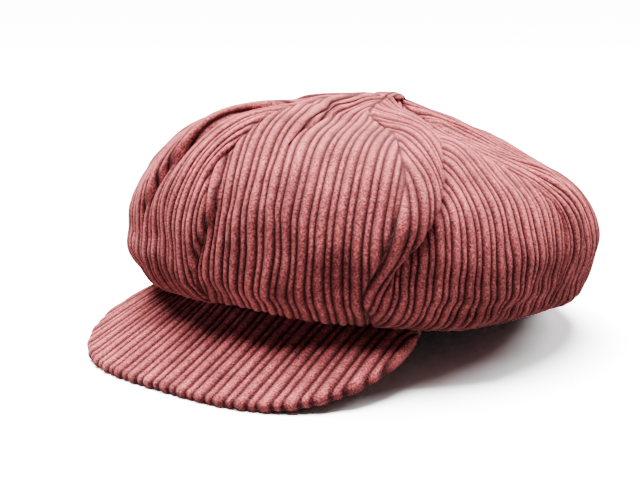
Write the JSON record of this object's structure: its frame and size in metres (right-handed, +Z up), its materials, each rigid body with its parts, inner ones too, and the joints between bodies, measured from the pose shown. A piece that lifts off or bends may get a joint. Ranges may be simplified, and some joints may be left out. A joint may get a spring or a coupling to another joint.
{
  "type": "newsboy cap",
  "caption": "Soft newsboy cap with a panelled corduroy crown, covered top button, lining, sweatband and a stiff covered brim.",
  "frame": {"origin": "middle of the footprint, on the surface that the cap lies on", "axes": "+Z up, the brim points along -Y, +X is the wearer's left"},
  "size_m": [0.2672, 0.3098, 0.1404],
  "materials": {
    "corduroy": "matt jumbo cotton corduroy with thick and thin wales, dusty rose brown",
    "lining": "smooth satin-weave lining",
    "sweatband_twill": "matt cotton twill",
    "elastic": "ribbed woven elastic",
    "woven_tab": "plain woven tab, blank",
    "brim_board": "matt polyethylene board",
    "button_steel": "pressed steel"
  },
  "bodies": {
    "cap": {"crown_panel_1": "corduroy", "crown_panel_2": "corduroy", "crown_panel_3": "corduroy", "crown_panel_4": "corduroy", "crown_panel_5": "corduroy", "crown_panel_6": "corduroy", "crown_panel_7": "corduroy", "crown_panel_8": "corduroy", "lining_panel_1": "lining", "lining_panel_2": "lining", "lining_panel_3": "lining", "lining_panel_4": "lining", "lining_panel_5": "lining", "lining_panel_6": "lining", "lining_panel_7": "lining", "lining_panel_8": "lining", "sweatband": "sweatband_twill", "back_elastic": "elastic", "size_tab": "woven_tab"},
    "brim": {"brim_top_cover": "corduroy", "brim_board": "brim_board", "brim_under_cover": "corduroy"},
    "button": {"button_cover": "corduroy", "button_shell": "button_steel", "button_shank": "button_steel"}
  },
  "joints": [
    {"name": "brim_flex", "type": "hinge", "parent": "cap", "child": "brim", "pos_m": [0, -0.0686, 0.031], "axis": [-1, 0, 0], "range_deg": [-12, 6], "stiffness_Nm_per_rad": 2},
    {"name": "crown_squash", "type": "slide", "parent": "cap", "child": "button", "axis": [0, -0.1565, -0.9877], "range_m": [0, 0.035], "stiffness_N_per_m": 40, "deforming": ["crown_panel_1", "crown_panel_2", "crown_panel_3", "crown_panel_4", "crown_panel_5", "crown_panel_6", "crown_panel_7", "crown_panel_8", "lining_panel_1", "lining_panel_2", "lining_panel_3", "lining_panel_4", "lining_panel_5", "lining_panel_6", "lining_panel_7", "lining_panel_8"]}
  ]
}
